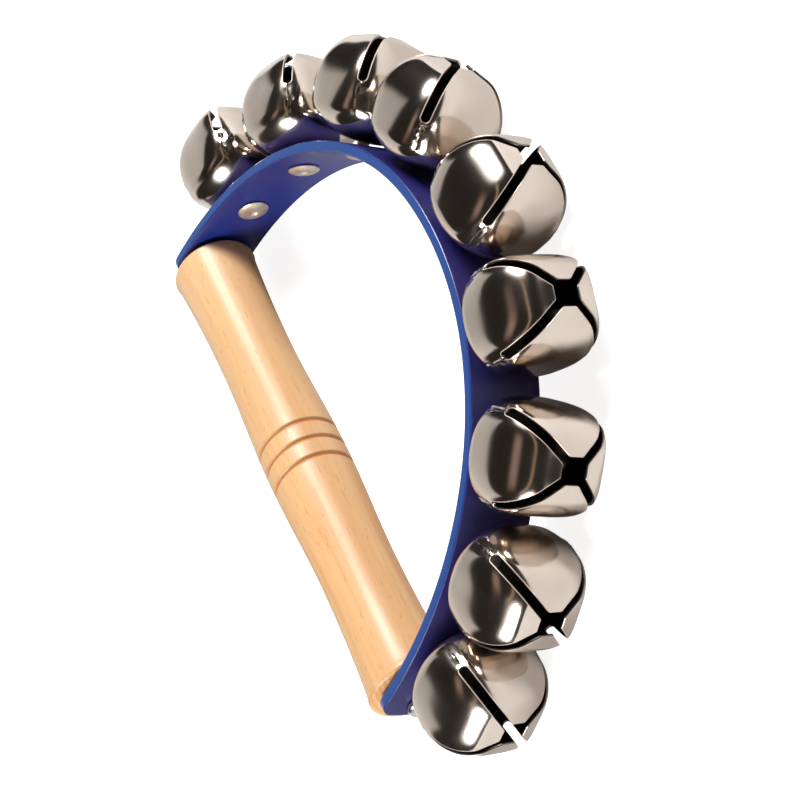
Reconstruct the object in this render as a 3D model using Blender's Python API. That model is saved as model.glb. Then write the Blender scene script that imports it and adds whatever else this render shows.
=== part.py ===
"""Jingle ring: a turned wooden grip, a plastic strap bent into a D, and a row of riveted bells.

Metres, +Z up. The ring lies flat on its bells. X runs from the grip to the crown of the strap,
Y runs along the grip, and the origin is on the table under the middle of the whole object.
"""
import math
from bisect import bisect_left

import bmesh
import bpy
from mathutils import Matrix, Vector

# Clearances
GAP = 0.0003
PELLET_CLEARANCE = 0.0005

# Grip, turned about the Y axis
GRIP_LENGTH = 0.1445
GRIP_END_RADIUS = 0.0112
GRIP_WAIST_RADIUS = 0.0097
GRIP_MIDDLE_RADIUS = 0.0107
GRIP_END_CROWN = 0.0013
GRIP_EDGE_RADIUS = 0.0009
GRIP_CROWN_BREAK = 0.7
GRIP_CROWN_DROP = 0.4
GROOVE_COUNT = 3
GROOVE_PITCH = 0.0057
GROOVE_WIDTH = 0.0017
GROOVE_DEPTH = 0.0006
GROOVE_FLOOR_SHARE = 0.4

# Strap, one plastic strip bent into a D
STRAP_WIDTH = 0.0198
STRAP_THICKNESS = 0.0026
STRAP_REACH = 0.0799
STRAP_ROOT = 0.0044
STRAP_FULLNESS = 2.08
STRAP_TAIL = 0.0045
STRAP_CORNER_RADIUS = 0.004

# Screws that hold the strap to the grip
SCREW_HEAD_RADIUS = 0.0038
SCREW_HEAD_HEIGHT = 0.0020
SCREW_SHANK_RADIUS = 0.0017
SCREW_LENGTH = 0.022
SCREW_RECESS_WIDTH = 0.0011
SCREW_RECESS_SPAN = 0.0042
SCREW_RECESS_DEPTH = 0.0012

# Bells, pressed from sheet with four petals folded over
BELL_WIDTH_ALONG = 0.0259
BELL_WIDTH_ACROSS = 0.0277
BELL_HEIGHT = 0.0269
BELL_WIDEST_LEVEL = 0.0073
BELL_WALL = 0.0007
BELL_SEAT_RADIUS = 0.0032
BELL_CROWN_SQUARENESS = 3.9
BELL_SQUARED_LEVEL = 0.0178
BELL_CROWN_FULLNESS = 2.55
SLOT_WIDTH = 0.0023
SLOT_END_LEVEL = 0.0138
PETAL_TIP_RADIUS = 0.0033
PETAL_TIP_CORNER = 0.0012
PETAL_CREASE = 0.0006

# Row of bells: the strap's curve spreads them, so their least pitch is less than their width
BELL_PITCH_CLOSING = 0.0001
FIRST_BELL_FROM_GRIP = 0.0242
BELL_SHIFT = (0.0002, 0, 0.0007, -0.0014, 0.0003, 0.0003, 0.0005, 0, -0.0007)
BELL_LEAN_ALONG = (3.6, 2.4, -3.7, -1.8, -1.2, -1.9, -8.2, -8.7, -1.1)
BELL_LEAN_ACROSS = (2.7, -5.0, -5.6, -3.4, -2.0, 4.3, 4.1, 0.1, -4.6)
BELL_TWIST = (-0.6, 0.2, -1.9, -0.4, 5.4, 3.7, 0.2, 4.9, 3.7)

# Rivets and the loose pellet in each bell
RIVET_HEAD_RADIUS = 0.0040
RIVET_HEAD_HEIGHT = 0.0009
RIVET_SHANK_RADIUS = 0.0015
RIVET_CLENCH_RADIUS = 0.0029
RIVET_CLENCH_HEIGHT = 0.0008
RIVET_DIMPLE_RADIUS = 0.0011
RIVET_DIMPLE_DEPTH = 0.0005
RIVET_FLAT_SHARE = 0.75
RIVET_CHAMFER_SHARE = 0.25
RIVET_RIM_SHARE = 0.7
PELLET_RADIUS = 0.0035

# Fineness of the meshes
GRIP_SIDES = 24
SMALL_SIDES = 12
PETAL_COLUMNS = 4
BASE_STEPS = 4
CROWN_STEPS = 4
SIDE_ROW_SHARES = (0.4, 0.75)
CORNER_ROW_ANGLE = 20
GRIP_BODY_STEPS = 6
STRAP_CORNER_STEPS = 4
STRAP_STEP = 0.007
PATH_STEPS = 720

least_bell_pitch = BELL_WIDTH_ALONG - BELL_PITCH_CLOSING
last_bell_from_grip = GRIP_END_RADIUS + RIVET_HEAD_RADIUS + GAP
bell_radius = (BELL_WIDTH_ALONG + BELL_WIDTH_ACROSS) / 4
half_grip = GRIP_LENGTH / 2
strap_span = STRAP_REACH + STRAP_ROOT
bend_radius = half_grip ** 2 / strap_span


def clear_scene():
    for obj in list(bpy.data.objects):
        bpy.data.objects.remove(obj, do_unlink=True)


def finish_material(name, colour, roughness, metallic):
    material = bpy.data.materials.new(name)
    material.use_nodes = True
    shader = material.node_tree.nodes["Principled BSDF"]
    shader.inputs["Base Color"].default_value = (*colour, 1)
    shader.inputs["Roughness"].default_value = roughness
    shader.inputs["Metallic"].default_value = metallic
    return material


def add_piece(name, mesh, material, parent, matrix=None, smooth_angle=40):
    mesh.materials.clear()
    mesh.materials.append(material)
    mesh.shade_smooth()
    mesh.set_sharp_from_angle(angle=math.radians(smooth_angle))
    obj = bpy.data.objects.new(name, mesh)
    bpy.context.collection.objects.link(obj)
    obj.parent = parent
    if matrix is not None:
        obj.matrix_local = matrix
    return obj


def add_frame(name, parent=None):
    frame = bpy.data.objects.new(name, None)
    bpy.context.collection.objects.link(frame)
    frame.parent = parent
    return frame


def mesh_from(name, bm):
    bmesh.ops.recalc_face_normals(bm, faces=bm.faces)
    mesh = bpy.data.meshes.new(name)
    bm.to_mesh(mesh)
    bm.free()
    return mesh


def turned_mesh(name, profile, sides):
    """Spin (radius, height) points about Z; the first and last lie on the axis."""
    bm = bmesh.new()
    verts = [bm.verts.new((radius, 0, height)) for radius, height in profile]
    edges = [bm.edges.new(pair) for pair in zip(verts, verts[1:])]
    bmesh.ops.spin(
        bm, geom=verts + edges, cent=(0, 0, 0), axis=(0, 0, 1), angle=math.tau, steps=sides, use_merge=True
    )
    bmesh.ops.remove_doubles(bm, verts=bm.verts, dist=1e-7)
    return mesh_from(name, bm)


def arc_points(centre, radius, start, end, count):
    """Points on an arc in the profile plane, angles in degrees from the radius axis."""
    angles = [math.radians(start + (end - start) * i / count) for i in range(count + 1)]
    return [(centre[0] + radius * math.cos(a), centre[1] + radius * math.sin(a)) for a in angles]


def dome_points(radius, height, base, count):
    """A low dome from its rim at the level base to its top on the axis."""
    angles = [math.pi / 2 * i / count for i in range(1, count + 1)]
    return [(radius * math.cos(a), base + height * math.sin(a)) for a in angles[:-1]] + [(0, base + height)]


def grip_radius(along):
    """Swollen at mid length, waisted at each quarter, flared at both ends."""
    share = abs(along) / half_grip
    if share < 0.5:
        return GRIP_WAIST_RADIUS + (GRIP_MIDDLE_RADIUS - GRIP_WAIST_RADIUS) * (1 + math.cos(math.tau * share)) / 2
    return GRIP_WAIST_RADIUS + (GRIP_END_RADIUS - GRIP_WAIST_RADIUS) * (2 * share - 1) ** 2


def grip_mesh():
    bore_radius = SCREW_SHANK_RADIUS + GAP
    bore_depth = SCREW_LENGTH + 2 * GAP
    top = half_grip - GAP
    rim = top - GRIP_END_CROWN
    groove_levels = [(i - (GROOVE_COUNT - 1) / 2) * GROOVE_PITCH for i in range(GROOVE_COUNT)]
    groove_reach = groove_levels[-1] + GROOVE_PITCH / 2
    upper = [(0, top - bore_depth), (bore_radius, top - bore_depth), (bore_radius, top)]
    upper.append((GRIP_CROWN_BREAK * GRIP_END_RADIUS, top - GRIP_CROWN_DROP * GRIP_END_CROWN))
    edge_centre = (GRIP_END_RADIUS - GRIP_EDGE_RADIUS, rim - GRIP_EDGE_RADIUS)
    upper += arc_points(edge_centre, GRIP_EDGE_RADIUS, 90, 0, 3)
    body_top = edge_centre[1]
    for i in range(1, GRIP_BODY_STEPS + 1):
        level = body_top + (groove_reach - body_top) * i / GRIP_BODY_STEPS
        upper.append((grip_radius(level), level))
    half_floor = GROOVE_FLOOR_SHARE * GROOVE_WIDTH / 2
    middle = []
    for level in reversed(groove_levels):
        surface = grip_radius(level)
        middle.append((surface, level + GROOVE_WIDTH / 2))
        middle.append((surface - GROOVE_DEPTH, level + half_floor))
        middle.append((surface - GROOVE_DEPTH, level - half_floor))
        middle.append((surface, level - GROOVE_WIDTH / 2))
    lower = [(radius, -level) for radius, level in reversed(upper)]
    return turned_mesh("grip", upper + middle + lower, GRIP_SIDES)


def strap_inner_path():
    """Centre line of the strap's inner face, from the upper grip end round to the lower one."""
    points = []
    for i in range(PATH_STEPS + 1):
        angle = math.pi * i / PATH_STEPS
        power = 2 / STRAP_FULLNESS
        x = strap_span * abs(math.sin(angle)) ** power - STRAP_ROOT
        y = half_grip * math.copysign(abs(math.cos(angle)) ** power, math.cos(angle))
        points.append(Vector((x, y)))
    tail = STRAP_TAIL - STRAP_ROOT
    points.insert(0, points[0] - Vector((tail, 0)))
    points.append(points[-1] - Vector((tail, 0)))
    return points


class StrapPath:
    """The strap's outer face seen along Z: a point and its outward normal at any distance along it."""

    def __init__(self):
        inner = strap_inner_path()
        self.points = [p + normal_at(inner, i) * STRAP_THICKNESS for i, p in enumerate(inner)]
        self.distances = [0.0]
        for before, after in zip(self.points, self.points[1:]):
            self.distances.append(self.distances[-1] + (after - before).length)
        self.length = self.distances[-1]

    def at(self, distance):
        i = min(max(bisect_left(self.distances, distance), 1), len(self.points) - 1)
        share = (distance - self.distances[i - 1]) / (self.distances[i] - self.distances[i - 1])
        point = self.points[i - 1].lerp(self.points[i], share)
        normal = normal_at(self.points, i - 1).lerp(normal_at(self.points, i), share)
        return point, normal.normalized()


def normal_at(points, i):
    """The outward normal of a path that runs from +Y round +X to -Y."""
    along = points[min(i + 1, len(points) - 1)] - points[max(i - 1, 0)]
    return Vector((-along.y, along.x)).normalized()


def facing_out(point, normal):
    """A frame on the strap's outer face: its Z points away from the strap, its X runs along it."""
    out = Vector((normal.x, normal.y, 0))
    across = Vector((0, 0, 1))
    along = across.cross(out)
    frame = Matrix((along, across, out)).transposed().to_4x4()
    frame.translation = (point.x, point.y, 0)
    return frame


def strap_stations(path):
    """Distances along the strap and the half width there: full width, with rounded corners at the ends."""
    half_width = STRAP_WIDTH / 2
    corner = []
    for i in range(STRAP_CORNER_STEPS):
        angle = math.pi / 2 * i / STRAP_CORNER_STEPS
        inset = STRAP_CORNER_RADIUS * (1 - math.sin(angle))
        corner.append((STRAP_CORNER_RADIUS * (1 - math.cos(angle)), half_width - inset))
    run = path.length - 2 * STRAP_CORNER_RADIUS
    steps = math.ceil(run / STRAP_STEP)
    body = [(STRAP_CORNER_RADIUS + run * i / steps, half_width) for i in range(steps + 1)]
    tail = [(path.length - distance, half) for distance, half in reversed(corner)]
    return corner + body + tail


def strap_mesh(path):
    bm = bmesh.new()
    rings = []
    for distance, half_width in strap_stations(path):
        point, normal = path.at(distance)
        inner = point - normal * STRAP_THICKNESS
        corners = [(inner, -half_width), (point, -half_width), (point, half_width), (inner, half_width)]
        rings.append([bm.verts.new((p.x, p.y, z)) for p, z in corners])
    for near, far in zip(rings, rings[1:]):
        for i in range(4):
            j = (i + 1) % 4
            bm.faces.new((near[i], near[j], far[j], far[i]))
    bm.faces.new(rings[0])
    bm.faces.new(rings[-1])
    return mesh_from("strap", bm)


def add_cutter(name, mesh, parent, matrix):
    cutter = bpy.data.objects.new(name, mesh)
    bpy.context.collection.objects.link(cutter)
    cutter.parent = parent
    cutter.matrix_local = matrix
    cutter.hide_render = True
    cutter.display_type = "WIRE"
    return cutter


def cut(obj, cutter):
    boolean = obj.modifiers.new("cut_" + cutter.name, "BOOLEAN")
    boolean.operation = "DIFFERENCE"
    boolean.object = cutter


def plug_mesh(name, radius, bottom, top):
    return turned_mesh(name, [(0, bottom), (radius, bottom), (radius, top), (0, top)], SMALL_SIDES)


def screw_mesh():
    """Domed head on the strap, shank through the strap and into the grip. Z = 0 is under the head."""
    tip = SCREW_LENGTH - 3 * SCREW_SHANK_RADIUS
    profile = [(0, -SCREW_LENGTH), (SCREW_SHANK_RADIUS, -tip), (SCREW_SHANK_RADIUS, 0), (SCREW_HEAD_RADIUS, 0)]
    profile += dome_points(SCREW_HEAD_RADIUS, SCREW_HEAD_HEIGHT, 0, 5)
    return turned_mesh("handle_screw", profile, 2 * SMALL_SIDES)


def recess_mesh():
    """A cross for a driver, as one plus-shaped block."""
    arm = SCREW_RECESS_SPAN / 2
    half = SCREW_RECESS_WIDTH / 2
    outline = [(arm, -half), (arm, half), (half, half), (half, arm), (-half, arm), (-half, half)]
    outline += [(-x, -y) for x, y in outline]
    bottom = SCREW_HEAD_HEIGHT - SCREW_RECESS_DEPTH
    bm = bmesh.new()
    face = bm.faces.new([bm.verts.new((x, y, bottom)) for x, y in outline])
    raised = bmesh.ops.extrude_face_region(bm, geom=[face])["geom"]
    up = [v for v in raised if isinstance(v, bmesh.types.BMVert)]
    bmesh.ops.translate(bm, verts=up, vec=(0, 0, 2 * SCREW_RECESS_DEPTH))
    return mesh_from("screw_recess", bm)


def squareness(level):
    """Exponent of the bell's cross-section: round at the base, squarer towards the crown."""
    share = min(level / BELL_SQUARED_LEVEL, 1)
    return 2 + (BELL_CROWN_SQUARENESS - 2) * share ** 2 * (3 - 2 * share)


def crown_level(half_side):
    power = BELL_CROWN_FULLNESS
    rise = (1 - (half_side / bell_radius) ** power) ** (1 / power)
    return BELL_WIDEST_LEVEL + (BELL_HEIGHT - BELL_WIDEST_LEVEL) * rise


def crown_half_side(level):
    power = BELL_CROWN_FULLNESS
    rise = (level - BELL_WIDEST_LEVEL) / (BELL_HEIGHT - BELL_WIDEST_LEVEL)
    return bell_radius * (1 - rise ** power) ** (1 / power)


def base_level(radius):
    return BELL_WIDEST_LEVEL * (1 - math.sqrt(1 - (radius / bell_radius) ** 2))


def petal_edge(level, half_side, gap):
    """Half width of a petal where its edge runs along the slot, gap away from the slot's middle."""
    power = squareness(level)
    half = half_side * 2 ** (-1 / power) - gap
    for _ in range(30):
        half = (half_side ** power - half ** power) ** (1 / power) - gap * math.sqrt(2)
    return half


def bell_rows():
    """(level, half side, half width of the petal) from the rivet hole to the petal tips."""
    sides = [(base_level(BELL_SEAT_RADIUS), RIVET_SHANK_RADIUS + 2 * GAP)]
    first = math.asin(BELL_SEAT_RADIUS / bell_radius)
    for i in range(BASE_STEPS + 1):
        radius = bell_radius * math.sin(first + (math.pi / 2 - first) * i / BASE_STEPS)
        sides.append((base_level(radius), radius))
    for share in SIDE_ROW_SHARES:
        level = BELL_WIDEST_LEVEL + (SLOT_END_LEVEL - BELL_WIDEST_LEVEL) * share
        sides.append((level, crown_half_side(level)))
    rows = [(level, side, petal_edge(level, side, PETAL_CREASE * side / bell_radius)) for level, side in sides]
    slot_half = SLOT_WIDTH / 2
    for angle in (math.radians(CORNER_ROW_ANGLE), math.pi / 2):
        level = SLOT_END_LEVEL + slot_half * (1 - math.cos(angle))
        side = crown_half_side(level)
        rows.append((level, side, petal_edge(level, side, slot_half * math.sin(angle))))
    start = math.acos(side / bell_radius)
    end = math.acos(petal_tip(math.pi / 4)[0] / bell_radius)
    for i in range(1, CROWN_STEPS + 1):
        side = bell_radius * math.cos(start + (end - start) * i / CROWN_STEPS)
        level = crown_level(side)
        rows.append((level, side, petal_edge(level, side, slot_half)))
    for angle in (math.radians(CORNER_ROW_ANGLE), 0):
        side, half_petal = petal_tip(angle)
        rows.append((crown_level(side), side, half_petal))
    return rows


def petal_tip(angle):
    """(half side, half width) on a petal's blunt tip, at this angle round its corner."""
    straight = PETAL_TIP_RADIUS - SLOT_WIDTH * math.sqrt(0.5) - PETAL_TIP_CORNER * math.tan(math.pi / 8)
    side = PETAL_TIP_RADIUS + PETAL_TIP_CORNER * (1 - math.cos(angle))
    return side, straight + PETAL_TIP_CORNER * math.sin(angle)


def bell_mesh():
    """The bell's outer skin, base down and petal tips up; its wall thickness comes from a modifier."""
    bm = bmesh.new()
    seat = base_level(BELL_SEAT_RADIUS)
    rings = []
    for level, half_side, half_petal in bell_rows():
        power = squareness(level)
        ring = []
        for quarter in range(4):
            turn = Matrix.Rotation(quarter * math.pi / 2, 2)
            for i in range(PETAL_COLUMNS + 1):
                across = half_petal * (2 * i / PETAL_COLUMNS - 1)
                outward = (half_side ** power - abs(across) ** power) ** (1 / power)
                flat = turn @ Vector((outward, across))
                ring.append(bm.verts.new((flat.x, flat.y, level - seat)))
        rings.append(ring)
    columns = 4 * (PETAL_COLUMNS + 1)
    for below, above in zip(rings, rings[1:]):
        open_slot = above[0].co.z > SLOT_END_LEVEL - seat + SLOT_WIDTH / 4
        for i in range(columns):
            j = (i + 1) % columns
            if open_slot and i % (PETAL_COLUMNS + 1) == PETAL_COLUMNS:
                continue
            bm.faces.new((below[i], below[j], above[j], above[i]))
    along = BELL_WIDTH_ALONG / 2 / bell_radius
    across = BELL_WIDTH_ACROSS / 2 / bell_radius
    bmesh.ops.scale(bm, verts=bm.verts, vec=(along, across, 1))
    mesh = bpy.data.meshes.new("bell")
    bm.to_mesh(mesh)
    bm.free()
    return mesh


def rivet_mesh(bell_lift):
    """Flat head inside the D with a small dimple, shank, and a clench inside the bell. Z = 0 is the strap."""
    under_head = -(STRAP_THICKNESS + GAP + sagitta(RIVET_HEAD_RADIUS))
    crown = under_head - RIVET_HEAD_HEIGHT
    clench = bell_lift + BELL_WALL + GAP + sagitta(RIVET_HEAD_RADIUS)
    profile = [(0, crown + RIVET_DIMPLE_DEPTH), (0.5 * RIVET_DIMPLE_RADIUS, crown + RIVET_DIMPLE_DEPTH)]
    profile += [(RIVET_DIMPLE_RADIUS, crown)]
    profile += [(RIVET_FLAT_SHARE * RIVET_HEAD_RADIUS, crown + RIVET_CHAMFER_SHARE * RIVET_HEAD_HEIGHT)]
    profile += [(RIVET_HEAD_RADIUS, crown + RIVET_RIM_SHARE * RIVET_HEAD_HEIGHT), (RIVET_HEAD_RADIUS, under_head)]
    profile += [(RIVET_SHANK_RADIUS, under_head), (RIVET_SHANK_RADIUS, clench), (RIVET_CLENCH_RADIUS, clench)]
    profile += dome_points(RIVET_CLENCH_RADIUS, RIVET_CLENCH_HEIGHT, clench, 3)
    return turned_mesh("rivet", profile, SMALL_SIDES)


def sagitta(radius):
    """How far the strap's tightest bend falls away over a flat round seat of this radius."""
    return radius ** 2 / (2 * bend_radius)


def pellet_mesh(orbit_radius):
    bm = bmesh.new()
    place = Matrix.Translation((0, -orbit_radius, 0))
    bmesh.ops.create_uvsphere(bm, u_segments=10, v_segments=6, radius=PELLET_RADIUS, matrix=place)
    mesh = bpy.data.meshes.new("pellet")
    bm.to_mesh(mesh)
    bm.free()
    return mesh


def row_distances(path):
    """Where the bells sit along the strap, from its upper end. The last rivet just clears the grip."""
    first = STRAP_TAIL + FIRST_BELL_FROM_GRIP
    last = path.length - STRAP_TAIL - last_bell_from_grip
    steps = int((last - first) / least_bell_pitch)
    return [first + (last - first) * i / steps + BELL_SHIFT[i % len(BELL_SHIFT)] for i in range(steps + 1)]


def lean_of(i):
    along = math.radians(BELL_LEAN_ALONG[i % len(BELL_LEAN_ALONG)])
    across = math.radians(BELL_LEAN_ACROSS[i % len(BELL_LEAN_ACROSS)])
    return along, across


def add_strap(path, seats, material, frame):
    strap = add_piece("strap", strap_mesh(path), material, frame)
    depth = 2 * STRAP_THICKNESS
    rivet_hole = plug_mesh("rivet_hole", RIVET_SHANK_RADIUS + GAP, -depth, depth)
    screw_hole = plug_mesh("screw_hole", SCREW_SHANK_RADIUS + GAP, -depth, depth)
    for i, seat in enumerate(seats, 1):
        cut(strap, add_cutter(f"rivet_hole_{i}", rivet_hole, frame, seat))
    for side, matrix in screw_places(path).items():
        cut(strap, add_cutter(f"screw_hole_{side}", screw_hole, frame, matrix))


def screw_places(path):
    """Frames on the strap's outer face, over the middle of each end of the grip."""
    places = {}
    for side, sign in (("upper", 1), ("lower", -1)):
        surface = max(p.y for p in path.points if abs(p.x) < SCREW_HEAD_RADIUS)
        frame = facing_out(Vector((0, sign * surface)), Vector((0, sign)))
        places[side] = frame
    return places


def add_screws(path, material, frame):
    mesh = screw_mesh()
    recess = recess_mesh()
    lift = Matrix.Translation((0, 0, GAP))
    for side, matrix in screw_places(path).items():
        screw = add_piece(f"handle_screw_{side}", mesh, material, frame, matrix @ lift)
        cut(screw, add_cutter(f"recess_{side}", recess, frame, matrix @ lift))


def add_bell_group(i, seat, meshes, materials, frame):
    """One bell with its rivet and its loose pellet. A leaning bell is lifted so that its seat stays clear."""
    along, across = lean_of(i)
    lean = math.hypot(along, across)
    lift = GAP + BELL_SEAT_RADIUS * math.sin(lean)
    upright = seat @ Matrix.Translation((0, 0, lift))
    leaning = upright @ Matrix.Rotation(along, 4, "Y") @ Matrix.Rotation(-across, 4, "X")
    twist = Matrix.Rotation(math.radians(BELL_TWIST[i % len(BELL_TWIST)]), 4, "Z")
    number = i + 1
    bell = add_piece(f"bell_{number}", meshes["bell"].copy(), materials["bell"], frame, leaning @ twist)
    wall = bell.modifiers.new("wall", "SOLIDIFY")
    wall.thickness = BELL_WALL
    wall.offset = -1
    wall.use_even_offset = True
    rivet = rivet_mesh(lift + BELL_SEAT_RADIUS * math.sin(lean))
    add_piece(f"rivet_{number}", rivet, materials["rivet"], frame, seat)
    add_piece(f"pellet_{number}", meshes["pellet"].copy(), materials["pellet"], frame, leaning @ pellet_axis())


def pellet_orbit():
    """Radius and drop of the circle that a pellet rolls on inside the oval wall of its bell."""
    inset = BELL_WALL + PELLET_CLEARANCE + PELLET_RADIUS
    half_along = BELL_WIDTH_ALONG / 2 - inset
    half_across = BELL_WIDTH_ACROSS / 2 - inset
    radius = min(half_along ** 2 / half_across, half_across)
    return radius, half_across - radius


def pellet_axis():
    radius, drop = pellet_orbit()
    return Matrix.Translation((0, -drop, BELL_WIDEST_LEVEL - base_level(BELL_SEAT_RADIUS)))


def stand_on_table(frame):
    """Move the whole ring so that its origin is under the middle of its box, on the table."""
    bpy.context.view_layer.update()
    graph = bpy.context.evaluated_depsgraph_get()
    corners = []
    for obj in bpy.data.objects:
        if obj.type == "MESH" and not obj.hide_render:
            shape = obj.evaluated_get(graph)
            corners += [shape.matrix_world @ v.co for v in shape.data.vertices]
    low = [min(c[k] for c in corners) for k in range(3)]
    high = [max(c[k] for c in corners) for k in range(3)]
    frame.location = (-(low[0] + high[0]) / 2, -(low[1] + high[1]) / 2, -low[2])
    bpy.context.view_layer.update()


def build():
    clear_scene()
    materials = {
        "grip": finish_material("lacquered_beech", (0.86, 0.55, 0.28), 0.28, 0.0),
        "strap": finish_material("blue_plastic", (0.03, 0.06, 0.32), 0.25, 0.0),
        "bell": finish_material("nickel_plate", (0.62, 0.58, 0.53), 0.14, 1.0),
        "rivet": finish_material("rivet_nickel", (0.66, 0.63, 0.58), 0.3, 1.0),
        "pellet": finish_material("pellet_steel", (0.4, 0.4, 0.4), 0.35, 1.0),
        "screw": finish_material("screw_steel", (0.6, 0.6, 0.6), 0.25, 1.0),
    }
    frame = add_frame("jingle_ring")
    path = StrapPath()
    seats = [facing_out(*path.at(distance)) for distance in row_distances(path)]
    turned_upright = Matrix.Rotation(-math.pi / 2, 4, "X")
    add_piece("grip", grip_mesh(), materials["grip"], frame, turned_upright, smooth_angle=50)
    add_strap(path, seats, materials["strap"], frame)
    add_screws(path, materials["screw"], frame)
    meshes = {"bell": bell_mesh(), "pellet": pellet_mesh(pellet_orbit()[0])}
    for i, seat in enumerate(seats):
        add_bell_group(i, seat, meshes, materials, frame)
    stand_on_table(frame)


build()
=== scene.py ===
"""Looks of the jingle ring: lacquered beech grip, glossy blue strap and nickel-plated jingle bells."""

import math
from bisect import bisect_left

import bmesh
import bpy
from mathutils import Matrix, Vector, noise


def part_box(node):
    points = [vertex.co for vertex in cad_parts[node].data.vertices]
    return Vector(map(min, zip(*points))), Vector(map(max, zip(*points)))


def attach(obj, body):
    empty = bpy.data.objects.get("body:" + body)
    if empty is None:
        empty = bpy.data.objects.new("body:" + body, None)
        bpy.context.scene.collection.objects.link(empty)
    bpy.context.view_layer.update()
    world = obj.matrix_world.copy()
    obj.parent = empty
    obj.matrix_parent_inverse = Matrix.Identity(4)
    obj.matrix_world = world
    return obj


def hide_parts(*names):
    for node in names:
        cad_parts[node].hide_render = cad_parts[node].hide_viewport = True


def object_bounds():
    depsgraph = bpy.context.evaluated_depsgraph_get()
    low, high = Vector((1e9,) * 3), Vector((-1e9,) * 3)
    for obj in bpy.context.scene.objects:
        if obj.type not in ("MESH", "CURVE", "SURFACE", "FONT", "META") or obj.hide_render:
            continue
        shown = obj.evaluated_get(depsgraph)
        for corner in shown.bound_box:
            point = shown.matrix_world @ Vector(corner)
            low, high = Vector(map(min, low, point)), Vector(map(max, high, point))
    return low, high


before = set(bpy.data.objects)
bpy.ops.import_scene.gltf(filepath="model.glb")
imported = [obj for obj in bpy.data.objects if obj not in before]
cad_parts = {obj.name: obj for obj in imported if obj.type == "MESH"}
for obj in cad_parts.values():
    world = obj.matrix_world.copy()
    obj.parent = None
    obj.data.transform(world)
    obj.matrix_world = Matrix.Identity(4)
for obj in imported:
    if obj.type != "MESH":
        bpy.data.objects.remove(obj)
cad_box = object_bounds()

# Strap, in metres
STRAP_THICKNESS = 0.0026
STRAP_ROOT = 0.0044
STRAP_FULLNESS = 2.08
STRAP_TAIL = 0.00448
STRAP_CORNER_RADIUS = 0.004
STRAP_EDGE_RADIUS = 0.00045
STRAP_COLUMNS = 300
STRAP_ROWS = 8
STRAP_END_CROWDING = 0.35

# Row of bells: each bell's shift along the strap in metres, and its leans and its twist in degrees
FIRST_BELL_FROM_GRIP = 0.0242
BELL_SHIFT = (0.0002, 0, 0.0007, -0.0014, 0.0003, 0.0003, 0.0005, 0, -0.0007)
BELL_LEAN_ALONG = (3.6, 2.4, -3.7, -1.8, -1.2, -1.9, -8.2, -8.7, -1.1)
BELL_LEAN_ACROSS = (2.7, -5.0, -5.6, -3.4, -2.0, 4.3, 4.1, 0.1, -4.6)
BELL_TWIST = (-0.6, 0.2, -1.9, -0.4, 5.4, 3.7, 0.2, 4.9, 3.7)
BELL_COUNT = len(BELL_SHIFT)
SEAT_GAP = 0.0003

# Grip. The profile of its end is in shares of its radius and of its crown's height.
GRIP_WAIST_RADIUS = 0.0097
GRIP_MIDDLE_RADIUS = 0.0107
GRIP_END_CROWN = 0.0013
GRIP_END_PROFILE = ((0, 0), (0.4, 0.15), (0.7, 0.45))
GRIP_EDGE_RADIUS = 0.0012
GRIP_EDGE_TURN = 78
GRIP_SKIN_INSET = 0.00002
GRIP_SIDES = 96
GROOVE_PITCH = 0.0057
GROOVE_WIDTH = 0.0017
GROOVE_DEPTH = 0.0006
GROOVE_FULLNESS = 0.7
PALM_PLACE = -0.028

# Bells. The painted glint strip's columns are in shares of its width.
BELL_WIDTH_ALONG = 0.0259
BELL_WIDTH_ACROSS = 0.0277
BELL_HEIGHT = 0.0269
BELL_WIDEST_LEVEL = 0.0073
BELL_WALL = 0.0007
GLINT_STRIP_WIDTH = 0.00018
GLINT_STRIP_COLUMNS = (0, 0.4, 1)
BELL_SEAT_RADIUS = 0.0032
BELL_CROWN_SQUARENESS = 3.9
BELL_SQUARED_LEVEL = 0.0178
BELL_CROWN_FULLNESS = 2.55
BELL_TIP_FULLNESS = 2.15
TIP_BLEND_START = 0.3
TIP_BLEND_END = 0.62
SLOT_WIDTH = 0.0023
SLOT_END_LEVEL = 0.0138
PETAL_TIP_RADIUS = 0.0033
PETAL_TIP_CORNER = 0.0012
PETAL_COLUMNS = 40
PETAL_EDGE_PASSES = 30
SKIN_INSET = 0.0001
SEAM_DISTANCE = 2e-6
FOLD_LENGTH = 0.0088
FOLD_HEIGHT = 0.0003
FOLD_SPACING = 0.0013
FOLD_SWAY = 0.0007
FOLD_FROM_SLOT = 0.0003
DENT_HEIGHT = 0.00003
DENTS_PER_METRE = 130
SMOOTH_NEAR_SEAT = 0.002

# Rivets and screws. The dimple's profile is in shares of its radius and depth, the clench and the
# screw's tip are in metres from the axis and from the strap's outer face.
RIVET_HEAD_RADIUS = 0.0040
RIVET_HEAD_HEIGHT = 0.0009
RIVET_SHANK_RADIUS = 0.0015
RIVET_DIMPLE_RADIUS = 0.0012
RIVET_DIMPLE_DEPTH = 0.0005
RIVET_DIMPLE_PROFILE = ((0, 1), (0.5, 0.9), (0.8, 0.45), (1, 0.12), (1.15, 0))
RIVET_DOME_START = 1.3 * RIVET_DIMPLE_RADIUS
RIVET_DOME_DROP = 0.75 * RIVET_HEAD_HEIGHT
RIVET_DOME_FULLNESS = 2.6
RIVET_CLENCH = (
    (RIVET_SHANK_RADIUS, 0.0012),
    (0.0029, 0.0013),
    (0.0027, 0.0018),
    (0.0016, 0.0022),
    (0, 0.0023),
)
SCREW_HEAD_RADIUS = 0.0038
SCREW_HEAD_HEIGHT = 0.0020
SCREW_HEAD_RIM = 0.0003
SCREW_SHANK_RADIUS = 0.0016
SCREW_TIP = ((0, -0.0226), (0.0002, -0.0222), (SCREW_SHANK_RADIUS, -0.018))
SMALL_SIDES = 48

MERGE_DISTANCE = 1e-7

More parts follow.
